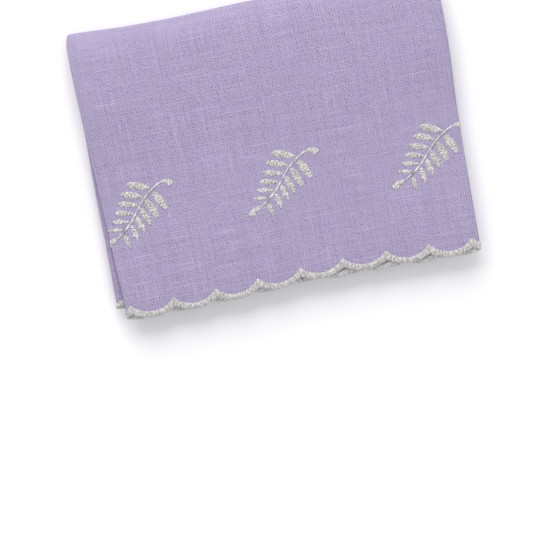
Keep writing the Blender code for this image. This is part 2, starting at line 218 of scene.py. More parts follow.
# %% The stations of the folded section
STATIONS = (
    # name            y      z      heading  left  right  twist
    ("hem_a",        -5.2,  10.2,      4.0,  88.8,  89.0,   0.0),
    ("hem_a_crown",   5.8,  10.8,      1.0,  88.7,  89.4,   0.0),
    ("flap_low",     30.0,  10.5,     -1.5,  89.6,  90.0,   0.0),
    ("flap_middle",  65.0,   9.95,     0.0,  90.8,  91.2,   0.0),
    ("crest",       100.0,  11.2,      0.6,  91.8,  93.2,   0.0),
    ("roll",        118.0,  11.0,     -3.0,  92.2,  93.5,   0.0),
    ("shoulder",    130.5,   9.45,   -20.0,  92.3,  92.9,   0.0),
    ("brow",        135.3,   7.2,    -42.0,  92.0,  92.6,   0.0),
    ("outer_fold",  138.15,  4.0,    -90.0,  91.2,  92.4,   0.0),
    ("floor_north", 134.9,   1.15,  -180.0,  90.8,  92.0,   0.0),
    ("floor_middle", 70.0,   1.15,  -180.0,  90.2,  90.4,   0.0),
    ("middle_under",  7.0,   1.15,  -180.0,  88.0,  88.9,   0.0),
    ("middle_fold",   5.65,  2.5,   -270.0,  88.0,  88.9,   0.0),
    ("middle_over",   7.0,   3.85,  -360.0,  88.0,  88.9,   0.0),
    ("third_middle", 70.0,   3.95,  -360.0,  89.6,  90.2,   0.0),
    ("inner_under", 130.0,   3.85,  -360.0,  90.8,  91.0,   0.0),
    ("inner_fold",  131.35,  5.2,   -270.0,  90.8,  91.0,  -1.0),
    ("inner_over",  130.0,   6.55,  -180.0,  90.8,  91.0,  -1.9),
    ("second_middle", 70.0,  7.0,   -180.0,  90.3,  90.4,  -1.9),
    ("second_low",   35.0,   6.9,   -180.0,  89.3,  90.0,  -1.9),
    ("hem_b_crown",  11.4,   6.8,   -180.0,  88.7,  89.6,  -1.9),
    ("hem_b",         0.4,   6.7,   -180.0,  88.6,  89.6,  -1.9),
)
TAKES_UP_LENGTH = ("middle_under", "middle_fold", "middle_over")
COLUMNS = ("name", "y", "z", "heading", "left", "right", "twist")
stations = [dict(zip(COLUMNS, row)) for row in STATIONS]


def station_curve(start, end, samples=24):
    """Points and directions from one station to the next, on a cubic with a round arc's handles."""
    turn = math.radians(end["heading"] - start["heading"])
    share = 1 / 3 if abs(turn) < 0.001 else 2 / 3 * math.tan(turn / 4) / math.sin(turn / 2)
    handle = share * math.hypot(end["y"] - start["y"], end["z"] - start["z"])
    leave, meet = math.radians(start["heading"]), math.radians(end["heading"])
    p0, p3 = Vector((start["y"], start["z"])), Vector((end["y"], end["z"]))
    p1 = p0 + handle * Vector((math.cos(leave), math.sin(leave)))
    p2 = p3 - handle * Vector((math.cos(meet), math.sin(meet)))
    for step in range(samples + 1):
        t = step / samples
        point = (1 - t) ** 3 * p0 + 3 * t * (1 - t) ** 2 * p1 + 3 * t * t * (1 - t) * p2 + t ** 3 * p3
        slope = (1 - t) ** 2 * (p1 - p0) + 2 * t * (1 - t) * (p2 - p1) + t * t * (p3 - p2)
        yield point, slope.normalized()


def walk_section():
    """Walk the whole section once: the length so far, the point and the direction at each sample."""
    lengths, points, slopes = [0.0], [], []
    stations[0]["v"] = 0.0
    for start, end in zip(stations, stations[1:]):
        for point, slope in list(station_curve(start, end))[1 if points else 0:]:
            if points:
                lengths.append(lengths[-1] + (point - points[-1]).length)
            points.append(point)
            slopes.append(slope)
        end["v"] = lengths[-1]
    return lengths, points, slopes


to_spare = walk_section()[0][-1] - SHEET_LENGTH
for station in stations:
    if station["name"] in TAKES_UP_LENGTH:
        station["y"] += to_spare / 2
LENGTHS, POINTS, SLOPES = walk_section()
print(f"section {LENGTHS[-1]:.1f} mm long, in {len(stations) - 1} stretches")

# %% [markdown]
# ## Folding a point
# The long edges turn in round a small half circle, so the good side is outwards both in front and
# behind. Then the point goes to its place on the section, the panel gets its width there, and the
# layer its twist. Soft pushes leave the hems and the big fold a little uneven, as pressed linen is.
# On the top hem the turned-in plies hang a little lower than the front one, so their scallops show
# under its cusps.

# %% The fold function
PLY_PITCH = 1.3                       # from the middle of one ply to the one folded behind it
EDGES_APART = 1.5                     # the two long edges, where they meet behind the panel
SOLID_PLY = 1.0                       # the cloth's thickness in the solids
FOLD_RADIUS = PLY_PITCH / 2
FOLD_ARC = math.pi * FOLD_RADIUS
PANEL_HALF = (SHEET_WIDTH - 2 * FOLD_ARC + EDGES_APART) / 4
PANEL_EDGE = PANEL_HALF + FOLD_RADIUS + SOLID_PLY / 2
TWIST_PIVOT = Vector((-88.0, 130.0))  # X and Y of the point that the last layer turns about
ORIGIN_FROM_CUSPS = 67.0              # the section's Y at the frame's origin
STATION_V = {station["name"]: station["v"] for station in stations}
BOTH = ("front", "turned in")
UNEVEN = (
    # station      x      half_width  reach  push_y  push_z  plies
    ("hem_a",      22.0,  75.0,       60.0,   2.7,    0.0,   ("front",)),
    ("hem_a",       5.0,  80.0,       60.0,   1.45,   0.15,  ("turned in",)),
    ("hem_a",     -89.0,  34.0,       34.0,   0.0,    0.9,   BOTH),
    ("hem_b",     -89.0,  45.0,       50.0,   1.4,    0.0,   BOTH),
    ("hem_b",      89.0,  75.0,       50.0,   1.0,    0.0,   BOTH),
    ("outer_fold", -42.0, 45.0,       30.0,  -0.8,    0.0,   BOTH),
    ("outer_fold", -92.0, 30.0,       30.0,   0.9,    0.0,   BOTH),
)


def bump(t):
    """A soft hump: 1 at t = 0, level there, and 0 from t = 1 outwards."""
    return math.cos(math.pi / 2 * min(abs(t), 1.0)) ** 2


def place_on_section(v):
    """The point and the direction of the section at V."""
    index = min(max(bisect.bisect_right(LENGTHS, v), 1), len(LENGTHS) - 1)
    t = (v - LENGTHS[index - 1]) / (LENGTHS[index] - LENGTHS[index - 1])
    return POINTS[index - 1].lerp(POINTS[index], t), SLOPES[index - 1].lerp(SLOPES[index], t).normalized()


def trend(index, column):
    """How fast a column of the table changes at a station."""
    before, after = stations[max(index - 1, 0)], stations[min(index + 1, len(stations) - 1)]
    return (after[column] - before[column]) / (after["v"] - before["v"])


def blend(v, column):
    """A column of the table at V, on a smooth curve through the stations."""
    index = next((i for i, end in enumerate(stations[1:]) if v <= end["v"]), len(stations) - 2)
    start, end = stations[index], stations[index + 1]
    span = end["v"] - start["v"]
    t = min(max((v - start["v"]) / span, 0.0), 1.0)
    from_start = trend(index, column) * span * t * (1 - t) ** 2
    from_end = trend(index + 1, column) * span * t * t * (1 - t)
    return start[column] + (end[column] - start[column]) * t * t * (3 - 2 * t) + from_start - from_end


def turn_in(u, w):
    """Fold the long edges behind the panel: (u, w) to X and the height off the section's line."""
    side, past, radius = math.copysign(1.0, u), abs(u) - PANEL_HALF, FOLD_RADIUS + w
    if past <= 0:
        return u, radius
    if past < FOLD_ARC:
        return (side * (PANEL_HALF + radius * math.sin(past / FOLD_RADIUS)),
                radius * math.cos(past / FOLD_RADIUS))
    return side * (PANEL_HALF - (past - FOLD_ARC)), -radius


def fold(flat):
    """Take a point of the flat towel (U, V, W), in millimetres, to the folded towel, in metres."""
    u, v, w = flat
    x, height = turn_in(u, w)
    point, slope = place_on_section(v)
    y, z = point.x - slope.y * height, point.y + slope.x * height
    x *= blend(v, "left" if x < 0 else "right") / PANEL_EDGE
    twist = Matrix.Rotation(math.radians(blend(v, "twist")), 2)
    x, y = TWIST_PIVOT + twist @ (Vector((x, y)) - TWIST_PIVOT)
    ply = "front" if abs(u) < PANEL_HALF + FOLD_ARC / 2 else "turned in"
    for name, at, half_width, reach, push_y, push_z, plies in UNEVEN:
        share = (ply in plies) * bump((x - at) / half_width) * bump((v - STATION_V[name]) / reach)
        y, z = y + share * push_y, z + share * push_z
    return Vector((x, y - ORIGIN_FROM_CUSPS, z)) * MM


print("middle of the top hem folds to", [round(c * 1000, 1) for c in fold((0.0, 0.0, FACE))], "mm")

# %% [markdown]
# ## The scallops
# Each short end is cut in scallops and overcast. The stitched band is bounded by two rows of round
# arcs that meet at cusps: shallow arcs outside, and deeper ones inside, so the band is widest at
# the cusps, where a little peak of stitches points into the cloth.

# %% The two edges of the scalloped band
OUTER_SAGITTA, INNER_SAGITTA = 3.0, 5.0
BAND_AT_ARC = 2.8                     # the band's width at the bottom of a scallop


def scallop_arc(u, sagitta, cusp_at):
    """How far the scallops hang below their cusps at U, as round arcs."""
    chord = SCALLOP_PITCH / 2
    radius = (chord ** 2 + sagitta ** 2) / (2 * sagitta)
    from_middle = (u - cusp_at) % SCALLOP_PITCH - chord
    return math.sqrt(radius ** 2 - from_middle ** 2) - (radius - sagitta)


def band_edges(u, end):
    """V of the outer and the inner edge of the band at U; end is 'top' or 'under'."""
    outer = OUTER_SAGITTA - scallop_arc(u, OUTER_SAGITTA, CUSP_AT[end])
    inner = BAND_AT_ARC + INNER_SAGITTA - scallop_arc(u, INNER_SAGITTA, CUSP_AT[end])
    return (outer, inner) if end == "top" else (SHEET_LENGTH - outer, SHEET_LENGTH - inner)


places = (CUSP_AT["top"], CUSP_AT["top"] + SCALLOP_PITCH / 2)
print("band", [round(abs(a - b), 1) for a, b in (band_edges(u, "top") for u in places)],
      "mm wide at a cusp and at an arc")

# %% [markdown]
# ## The linen
# The cloth is one thin sheet. It could be draped by simulation, but pressed linen in sharp folds
# is steadier to build from its flat pattern: a grid is laid out flat, its ends are cut to the
# scallops, and every point is folded. Lines are close together only round the folds. The sheet
# ripples by a tenth of a millimetre, and Solidify gives it its thickness.
# The flat places are kept as a UV map in millimetres, so the weave follows the cloth round
# every fold.

# %% Lines of the grid
def cloth_columns():
    """U of the lines that run along the cloth: even, but close round the turned-in edges."""
    step = SCALLOP_PITCH / 8
    fold_lines = [PANEL_HALF + FOLD_ARC * i / 8 for i in range(9)]
    fixed = [-SHEET_WIDTH / 2, SHEET_WIDTH / 2] + fold_lines + [-u for u in fold_lines]
    reach = int(SHEET_WIDTH / 2 / step)
    even = [CUSP_AT["top"] + step * i for i in range(-reach, reach + 1)]
    return sorted(fixed + [u for u in even if all(abs(u - other) > 0.8 for other in fixed)])


def cloth_rows():
    """V of the lines that run across: closest where the section turns most."""
    rows = [0.0]
    for start, end in zip(stations, stations[1:]):
        span, turn = end["v"] - start["v"], abs(end["heading"] - start["heading"])
        count = max(math.ceil(span / 3.0), math.ceil(turn / 9.0))
        rows += [start["v"] + span * (i + 1) / count for i in range(count)]
    return rows


columns, rows = cloth_columns(), cloth_rows()
print(f"{len(columns)} lines along the cloth and {len(rows)} across")

# %% Cut, ripple and fold the sheet
EDGE_UNDER_THREAD = 0.45              # the cloth stops this far inside the band's outer edge
EDGE_REACH = 16.0                     # the lines near an end follow its scallops this far
RIPPLE = 0.11                         # the height of the long waves; the short ones have half


def towards_scallops(u, v):
    """Draw the lines near each end towards its scalloped edge."""
    top = band_edges(u, "top")[0] + EDGE_UNDER_THREAD
    under = SHEET_LENGTH - band_edges(u, "under")[0] + EDGE_UNDER_THREAD
    pull_top = max(0.0, 1 - v / EDGE_REACH)
    pull_under = max(0.0, 1 - (SHEET_LENGTH - v) / EDGE_REACH)
    return v + top * pull_top - under * pull_under


def ripple(u, v):
    """The height of the pressed cloth off its true surface: long soft waves, a tenth high."""
    long_waves = noise.noise(Vector((u / 26, v / 38, 0.0)))
    short_waves = noise.noise(Vector((u / 9, v / 60, 7.0)))
    return RIPPLE * (long_waves + 0.5 * short_waves)


sheet = bmesh.new()
bmesh.ops.create_grid(sheet, x_segments=len(columns) - 1, y_segments=len(rows) - 1, size=1)
for vert in sheet.verts:
    column = round((vert.co.x + 1) / 2 * (len(columns) - 1))
    row = round((vert.co.y + 1) / 2 * (len(rows) - 1))
    vert.co = (columns[column], towards_scallops(columns[column], rows[row]), 0.0)
flat_map = sheet.loops.layers.uv.new("flat_mm")
for face in sheet.faces:
    for loop in face.loops:
        loop[flat_map].uv = loop.vert.co.xy
for vert in sheet.verts:
    u, v, _ = vert.co
    vert.co = fold((u, v, ripple(u, v)))
print(f"cloth grid of {len(sheet.faces)} cells")

# %% [markdown]
# ## Linen weave
# The finish is plain-woven linen, dyed in the piece and pressed. Its yarns are thick and thin by
# turns, so the cloth shows slubs both ways, tiny holes between the yarns painted dark as shade, and
# a dry, matt face with a little bloom at glancing angles. There are about 15 threads to the centimetre.
# The weave is worked out from the flat map: the fraction of a thread gives its round back, and the
# chessboard of warp over weft, painted as the shade of the weave's relief, gives the fine diagonal
# grain. Linen yarn is never even, so a noise drawn out along each set of yarns gives the long pale and dark
# lines that cross.

# %% Plain-weave material
WARP_MM, WEFT_MM = 0.655, 0.708       # 15.3 warp and 14.1 weft threads to the centimetre
WANDER = 0.9                          # how far a yarn strays from its line, in yarns
WEAVE = {                             # how far each thing moves the tone, from deep (0) to light (1); over and pinhole are painted shade
    "base": 0.44,
    "over": 0.30,                     # painted shade and light of the weave's relief, warp or weft on top
    "warp_pair": 0.09,
    "weft_pair": 0.0405,
    "float": 0.10,
    "yarn": 0.18,
    "slub": 0.95,
    # painted shade in the open pinholes between yarns
    "pinhole": 1.1,
}
DEEPEST = -0.25                       # the darkest tone, in the painted shade at the bottom of a pinhole
SLUB_FROM = 0.62                      # of the noise: above this a yarn swells into a slub
DARK_LINEN_AND_SHADE = "695C7F"                 # painted shade down between two yarns; the yarns' darker tones lean towards it
LIGHT_LINEN = ("C4B8D6", "C1B9D9")    # on top of the palest floats: two dips of the same dye


def woven_linen():
    """Plain-woven, piece-dyed lavender linen: matt, slubbed, with painted shade in its weave and in the
    pinholes between its yarns.
    """
    material, tree, shader = new_material("woven_lavender_linen", Roughness=0.88, Specular_IOR_Level=0.3,
                                          Sheen_Weight=0.12, Sheen_Roughness=0.5)

    def maths(operation, a, b=0.0, c=0.0):
        return add_node(tree, "ShaderNodeMath", {"operation": operation}, in0=a, in1=b, in2=c).outputs[0]

    def arch(value):
        """The sine of half turns: a hump to the next whole number, then a dip to the one after."""
        return maths("SINE", maths("MULTIPLY", value, math.pi))

    def yarn_noise(across, along, seed, detail=1.0):
        """Noise drawn out along one set of yarns: sizes in millimetres across and along U and V."""
        moved = add_node(tree, "ShaderNodeMapping", Vector=flat.outputs["UV"], Location=(seed, seed, 0.0),
                         Scale=(1 / across, 1 / along, 1.0))
        return add_node(tree, "ShaderNodeTexNoise", {"noise_dimensions": "2D"}, Vector=moved.outputs[0],
                        Scale=1.0, Detail=detail).outputs["Fac"]

    def slub(across, along, seed):
        """A short thicker, paler stretch of one yarn: thin and seldom."""
        return maths("MAXIMUM", maths("SUBTRACT", yarn_noise(across, along, seed), SLUB_FROM), 0.0)

    def chance_at(x, y):
        """A chance value from 0 to 1 for each pair of whole numbers."""
        cell = add_node(tree, "ShaderNodeCombineXYZ", X=x, Y=y)
        return add_node(tree, "ShaderNodeTexWhiteNoise", {"noise_dimensions": "2D"},
                        Vector=cell.outputs[0]).outputs["Value"]

    flat = add_node(tree, "ShaderNodeUVMap", {"uv_map": "flat_mm"})
    axes = add_node(tree, "ShaderNodeSeparateXYZ", Vector=flat.outputs["UV"])
    # Each place counted in yarns. Their wander keeps the grain from looking printed.
    warp = maths("MULTIPLY_ADD", yarn_noise(6.0, 24.0, 3.1), WANDER,
                 maths("DIVIDE", axes.outputs[0], WARP_MM))
    weft = maths("MULTIPLY_ADD", yarn_noise(24.0, 6.0, 8.7), WANDER,
                 maths("DIVIDE", axes.outputs[1], WEFT_MM))
    warp_number, weft_number = maths("FLOOR", warp), maths("FLOOR", weft)
    warp_back, weft_back = arch(maths("FRACT", warp)), arch(maths("FRACT", weft))

    # The relief: each yarn has a round back, and dives where the other set goes over it.
    over = maths("FLOORED_MODULO", maths("ADD", warp_number, weft_number), 2.0)
    warp_high = maths("MULTIPLY", warp_back, maths("MULTIPLY_ADD", weft_back, 0.45, 0.55))
    weft_high = maths("MULTIPLY", weft_back, maths("MULTIPLY_ADD", warp_back, 0.45, 0.55))
    height = add_node(tree, "ShaderNodeMix", {"data_type": "FLOAT"}, in0=over, in2=warp_high,
                      in3=weft_high).outputs[0]

    # Where the warp is on top the cloth is painted darker, as the shade of the weave's relief: a soft
    # chessboard, one thread to a square.
    weave_relief_shade = maths("MULTIPLY", arch(warp), arch(weft))
    # Yarns lie in pairs, as the reed leaves them, and each float of a yarn has its own shade.
    warp_pair, weft_pair = (maths("FLOORED_MODULO", number, 2.0) for number in (warp_number, weft_number))
    float_shade = chance_at(warp_number, weft_number)
    # A yarn goes on thick or thin, pale or dark, for inches, and crosses others that do the same.
    thick_and_thin = maths("SUBTRACT", maths("ADD", yarn_noise(0.9, 55.0, 21.0),
                                             yarn_noise(48.0, 0.9, 47.0)), 1.0)
    slubs = maths("MULTIPLY_ADD", slub(0.8, 20.0, 33.0), 0.7, slub(22.0, 0.7, 71.0))
    # A pinhole shows at a corner between four yarns, painted dark as the shade down in it, and only some
    # stand open.
    open_share = chance_at(maths("FLOOR", maths("ADD", warp, 0.5)), maths("FLOOR", maths("ADD", weft, 0.5)))
    near_corner = maths("MULTIPLY", maths("SUBTRACT", 1.0, warp_back), maths("SUBTRACT", 1.0, weft_back))
    pinhole = maths("MULTIPLY", maths("POWER", near_corner, 0.7), maths("POWER", open_share, 3.0))

    # The tone from deep to light: the yarns' own tone, with the painted shade of the relief and of the
    # pinholes.
    light = WEAVE["base"]
    for thing, amount in ((weave_relief_shade, -WEAVE["over"]), (warp_pair, WEAVE["warp_pair"]),
                          (weft_pair, WEAVE["weft_pair"]), (float_shade, WEAVE["float"]),
                          (thick_and_thin, WEAVE["yarn"]), (slubs, WEAVE["slub"]),
                          (pinhole, -WEAVE["pinhole"])):
        light = maths("MULTIPLY_ADD", thing, amount, light)
    dye = mix_colours(tree, yarn_noise(7.0, 9.0, 60.0, 2.0), linear(LIGHT_LINEN[0]), linear(LIGHT_LINEN[1]))
    shown = mix_colours(tree, maths("MAXIMUM", light, DEEPEST), linear(DARK_LINEN_AND_SHADE), dye, clamp=False)
    tree.links.new(shown, shader.inputs["Base Color"])
    relief = maths("MULTIPLY_ADD", slubs, 0.5, height)
    raised = add_node(tree, "ShaderNodeBump", Strength=0.2, Distance=0.00018, Height=relief)
    tree.links.new(raised.outputs[0], shader.inputs["Normal"])
    return material


cloth = object_from(sheet, "linen_cloth", woven_linen())
thickness = cloth.modifiers.new("Thickness", "SOLIDIFY")
thickness.thickness, thickness.offset = CLOTH_THICK * MM, 0.0
print("linen woven, with its thickness")

# %% [markdown]
# ## A stitch
# Satin stitch is thread laid side by side until it covers the cloth. A real one has two or three
# threads to the millimetre, which would vanish in the picture, so each is drawn as coarse as it
# needs to show, sixteen to the centimetre. One thread is made once, and copied for each
# stitch: a capped rod for the stitches that lie on the cloth, and a closed ring for those that
# wrap its edge. Their own UV map holds the place across the thread, plus a number that tells the
# stitches apart, and the millimetres along it.

# %% One rod and one ring of thread
THREAD_PITCH = 0.62
RING_RADIUS = 10.0                    # of the ring to copy from, over a thread one unit across
SORT_ALONG = Vector((0.83, 1.0, 0.37))        # a direction along which no two places of a ring tie


def thread_rod(steps, sides=6):
    """A capped rod one unit across, along +Y from 0 to 1."""
    rod = bmesh.new()
    bmesh.ops.create_cone(rod, cap_ends=True, segments=sides, radius1=0.5, radius2=0.5, depth=1.0)
    lie_down = Matrix.Rotation(math.radians(-90), 3, "X")
    bmesh.ops.rotate(rod, verts=rod.verts, cent=(0, 0, 0), matrix=lie_down)
    bmesh.ops.translate(rod, verts=rod.verts, vec=(0, 0.5, 0))
    for step in range(1, steps):
        bmesh.ops.bisect_plane(rod, geom=rod.verts[:] + rod.edges[:] + rod.faces[:],
                               plane_co=(0, step / steps, 0), plane_no=(0, 1, 0))
    return rod


def thread_ring(steps, sides=6):
    """A closed ring of thread round the X axis, one unit across."""
    ring = bmesh.new()
    bmesh.ops.create_circle(ring, segments=sides, radius=0.5)
    bmesh.ops.translate(ring, verts=ring.verts, vec=(0, RING_RADIUS, 0))
    bmesh.ops.spin(ring, geom=ring.verts[:] + ring.edges[:], cent=(0, 0, 0), axis=(1, 0, 0),
                   dvec=(0, 0, 0), angle=math.tau, steps=steps, use_merge=True)
    bmesh.ops.remove_doubles(ring, verts=ring.verts, dist=0.001)
    # Spinning lists its faces in no fixed order, so they are sorted, to be the same in each run.
    ring.verts.sort(key=lambda vert: vert.co.dot(SORT_ALONG))
    ring.faces.sort(key=lambda face: face.calc_center_median().dot(SORT_ALONG))
    return ring


def as_pattern(piece):
    """Keep a small bmesh as a mesh to copy from, with its faces outwards."""
    bmesh.ops.recalc_face_normals(piece, faces=piece.faces)
    mesh = bpy.data.meshes.new("pattern")
    piece.to_mesh(mesh)
    piece.free()
    return mesh


ROD, RING = as_pattern(thread_rod(5)), as_pattern(thread_ring(12))
print(f"a rod has {len(ROD.polygons)} faces, a ring {len(RING.polygons)}")

# %% [markdown]
# ## Laying stitches
# A stitch is given by its two ends on the flat cloth. A rod rises from one end, crowns in the
# middle over the stitches' padding, and dips into the cloth at the other. A ring goes round the
# cloth's edge in a flattened oval. Each end, width and height strays a little, as thread does.

# %% Lay one stitch by its two ends
THREAD_THICK = 0.46
SQUARENESS = 2.6                      # of a rod's crown and a ring's oval: 2 would be round
RING_ABOVE, RING_BELOW = 0.36, 0.20   # how far a ring stands off the cloth's two sides
LEAFLET_BASE, STEM_BASE = FACE - 0.16, FACE - 0.05      # W of the ends of a stitch
END_STRAY, RING_LEAN = 0.07, 0.04     # in millimetres
MAP_WIDTH = 0.8                       # of a thread in its map, where its neighbours are 1 apart
ROD_WIDTH_STRAY, CROWN_STRAY, RING_STRAY = 0.06, 0.16, 0.05         # as shares
chance = random.Random(11)


def stray(size):
    """A chance value, at most so far from 0."""
    return chance.uniform(-size, size)


def lay_rod(a, b, wide, crown, base):
    """How a rod's point goes to a stitch from a to b: its width, and its rise in the middle."""
    a = a + Vector((stray(END_STRAY), stray(END_STRAY)))
    b = b + Vector((stray(END_STRAY), stray(END_STRAY)))
    out = (b - a).normalized()
    side = Vector((out.y, -out.x)) * wide * (1 + stray(ROD_WIDTH_STRAY))
    crown = crown * (1 + stray(CROWN_STRAY))

    def place(co):
        flat = a.lerp(b, co.y) + side * co.x
        rise = (1 - abs(2 * co.y - 1) ** SQUARENESS) ** 0.7 if 0 < co.y < 1 else 0.0
        return flat.x, flat.y, base + crown * rise + THREAD_THICK * co.z
    return place


def lay_ring(outer, inner, wide_outer, wide_inner):
    """How a ring's point goes round the cloth's edge from the band's outer edge to its inner one."""
    middle, reach = (outer + inner) / 2, (inner - outer) / 2
    side = Vector((reach.y, -reach.x)).normalized()
    above = RING_ABOVE * (1 + stray(RING_STRAY))
    lean = stray(RING_LEAN)

    def place(co):
        angle = math.atan2(co.z, co.y)
        off = THREAD_THICK * (math.hypot(co.y, co.z) - RING_RADIUS)
        c, s = math.cos(angle), math.sin(angle)
        oval = (1 / (abs(c) ** SQUARENESS + abs(s) ** SQUARENESS)) ** (1 / SQUARENESS)
        wide = (wide_outer * (1 - c) + wide_inner * (1 + c)) / 2
        flat = middle + reach * c * oval * (1 + off / reach.length) + side * (co.x * wide + lean * s)
        height = (FACE + (above if s > 0 else RING_BELOW)) * s * oval + off * s
        return flat.x, flat.y, height
    return place


def sew(name, pattern, laid, material):
    """Copy the pattern for each (place, step), put it there, and fold the whole piece.

    The step is how far the stitch's number goes on in the thread's map: 1 tells stitches apart,
    and less keeps their painted light and shade close, as on the stem. The mesh is one piece of many closed
    threads.
    """
    piece = bmesh.new()
    for _ in laid:
        piece.from_mesh(pattern)
    piece.verts.ensure_lookup_table()
    piece.faces.ensure_lookup_table()
    thread_map = piece.loops.layers.uv.new("thread")
    per_stitch, faces_each = len(pattern.vertices), len(pattern.polygons)
    number = 0.5
    for i, (place, step) in enumerate(laid):
        if pattern is RING:
            outer, inner = place(Vector((0, -RING_RADIUS, 0))), place(Vector((0, RING_RADIUS, 0)))
            length = 2 * math.dist(outer, inner)
        else:
            length = math.dist(place(Vector((0, 0, 0))), place(Vector((0, 1, 0))))
        for face in piece.faces[i * faces_each:(i + 1) * faces_each]:
            for loop in face.loops:
                co = loop.vert.co
                along = math.atan2(co.z, co.y) / math.tau if pattern is RING else co.y
                loop[thread_map].uv = (number + MAP_WIDTH * step * co.x, along * step * length)
        number += step
    for i, (place, _) in enumerate(laid):
        for vert in piece.verts[i * per_stitch:(i + 1) * per_stitch]:
            vert.co = fold(place(vert.co))
    made = object_from(piece, name, material)
    print(f"{name}: {len(laid)} stitches, {len(made.data.polygons)} faces")
    return made


# %% [markdown]
# ## Embroidery thread
# The thread is a two-ply rayon in silver grey. It is smoother and brighter than linen, so it
# needs a lower roughness and a little sheen, and no metal: its gleam is that of a polished fibre.
# No two stitches take the light alike, so each one's painted light and shade comes from its number in
# the map, and from flecks of painted highlight and shade along it, where its strands part. The bands
# and the ferns have one thread, but it is packed more tightly in a band, so little of the painted shade
# between its strands shows there.

# %% Rayon thread material
THREAD_SHADE_AND_HIGHLIGHT = {                     # painted shade down between two strands, and painted highlight on their backs
    "band": ("A4A1A0", "D7D5D4"),
    "fern": ("969391", "E6E4E2"),
}
FLECK_MM = 0.7                        # the length of a fleck of painted highlight and shade along its stitch
FLECK_SHARE = 0.8                     # of the painted light and shade that the flecks give; the rest is each stitch's own


def rayon_thread(use):
    """Silver-grey rayon embroidery thread: soft gloss along each twisted strand, with painted highlight and
    shade from stitch to stitch and along each.
    """
    material, tree, shader = new_material("silver_rayon_thread_" + use, Roughness=0.5,
                                          Specular_IOR_Level=0.45, Sheen_Weight=0.15, Sheen_Roughness=0.4)
    place = add_node(tree, "ShaderNodeUVMap", {"uv_map": "thread"})
    axes = add_node(tree, "ShaderNodeSeparateXYZ", Vector=place.outputs["UV"])
    number = add_node(tree, "ShaderNodeMath", {"operation": "FLOOR"}, in0=axes.outputs[0])
    per_stitch = add_node(tree, "ShaderNodeTexWhiteNoise", {"noise_dimensions": "1D"}, W=number.outputs[0])
    # Along a stitch the strands part and close again, so its painted light breaks up into flecks of painted
    # highlight and shade.
    stretched = add_node(tree, "ShaderNodeMapping", Vector=place.outputs["UV"],
                         Scale=(1.0, 1 / FLECK_MM, 1.0))
    flecks = add_node(tree, "ShaderNodeTexNoise", {"noise_dimensions": "2D"}, Vector=stretched.outputs[0],
                      Scale=1.0, Detail=0.0)
    blend_in = add_node(tree, "ShaderNodeMix", {"data_type": "FLOAT"}, in0=FLECK_SHARE,
                        in2=per_stitch.outputs["Value"], in3=flecks.outputs["Fac"])
    spread = add_node(tree, "ShaderNodeMapRange", Value=blend_in.outputs[0], From_Min=0.3, From_Max=0.7)
    # The deep colour is painted shade between strands, and the pale one painted highlight on their backs.
    deep, pale = THREAD_SHADE_AND_HIGHLIGHT[use]
    tint = mix_colours(tree, spread.outputs[0], linear(deep), linear(pale))
    tree.links.new(tint, shader.inputs["Base Color"])
    strands = add_node(tree, "ShaderNodeMapping", Vector=place.outputs["UV"], Scale=(5.0, 5.0, 1.0),
                       Rotation=(0.0, 0.0, math.radians(35)))
    twist = add_node(tree, "ShaderNodeTexWave", {"wave_type": "BANDS"}, Vector=strands.outputs[0],
                     Scale=1.0, Distortion=0.6)
    raised = add_node(tree, "ShaderNodeBump", Strength=0.35, Distance=0.00006, Height=twist.outputs["Fac"])
    tree.links.new(raised.outputs[0], shader.inputs["Normal"])
    return material


thread = {use: rayon_thread(use) for use in THREAD_SHADE_AND_HIGHLIGHT}
print("thread spun for", " and ".join(thread))

# %% [markdown]
# ## The overcast scallops
# The band runs the whole width of the cloth on each end, round both turned-in edges and along
# the flaps behind. Its stitches stand square to the edge at the bottom of each scallop and
# upright at the cusps, where they fan out into the little peak.

# %% Stitches of the two bands
FAN = 0.9                             # how far a stitch leans towards its scallop's middle, at most
BAND_THREAD = (THREAD_PITCH * 1.4, THREAD_PITCH * 1.45)       # its width at the outer and inner edge
BAND_INSET = 0.15                     # of a stitch's middle line, from the band's outer edge
INNER_STRAY = 0.12


def band_stitches(end):
    """The stitches of one band, from one long edge of the cloth to the other."""
    low = -SHEET_WIDTH / 2 + THREAD_PITCH / 2
    count = int((SHEET_WIDTH - THREAD_PITCH) / THREAD_PITCH)
    inset = BAND_INSET if end == "top" else -BAND_INSET
    laid = []
    for i in range(count + 1):
        u = low + (SHEET_WIDTH - THREAD_PITCH) * i / count
        phase = ((u - CUSP_AT[end]) / SCALLOP_PITCH) % 1.0
        lean = FAN * math.sin(math.tau * phase)
        u_outer, u_inner = u - 0.5 * lean, u + 0.5 * lean
        outer = Vector((u_outer, band_edges(u_outer, end)[0] + inset))
        inner = Vector((u_inner, band_edges(u_inner, end)[1] + stray(INNER_STRAY)))
        laid.append((lay_ring(outer, inner, *BAND_THREAD), 1.0))
    return laid


border_top = sew("satin_border_top", RING, band_stitches("top"), thread["band"])
border_under = sew("satin_border_under", RING, band_stitches("under"), thread["band"])

# %% [markdown]
# ## The ferns
# A row of ferns, all from one chart, is stitched above the scallops, each a hair out of line with
# the next. A fern is an ordinary sprig: a curved stem with six pairs of leaflets that shorten
# towards the tip, and one leaflet at the end. Upper leaflets are widest far out and lower ones
# near the stem. The stem ends in a curved flare with a slanting cut. The chart is a few curves and
# two rows of numbers for each side, and stitches are laid across every leaflet.

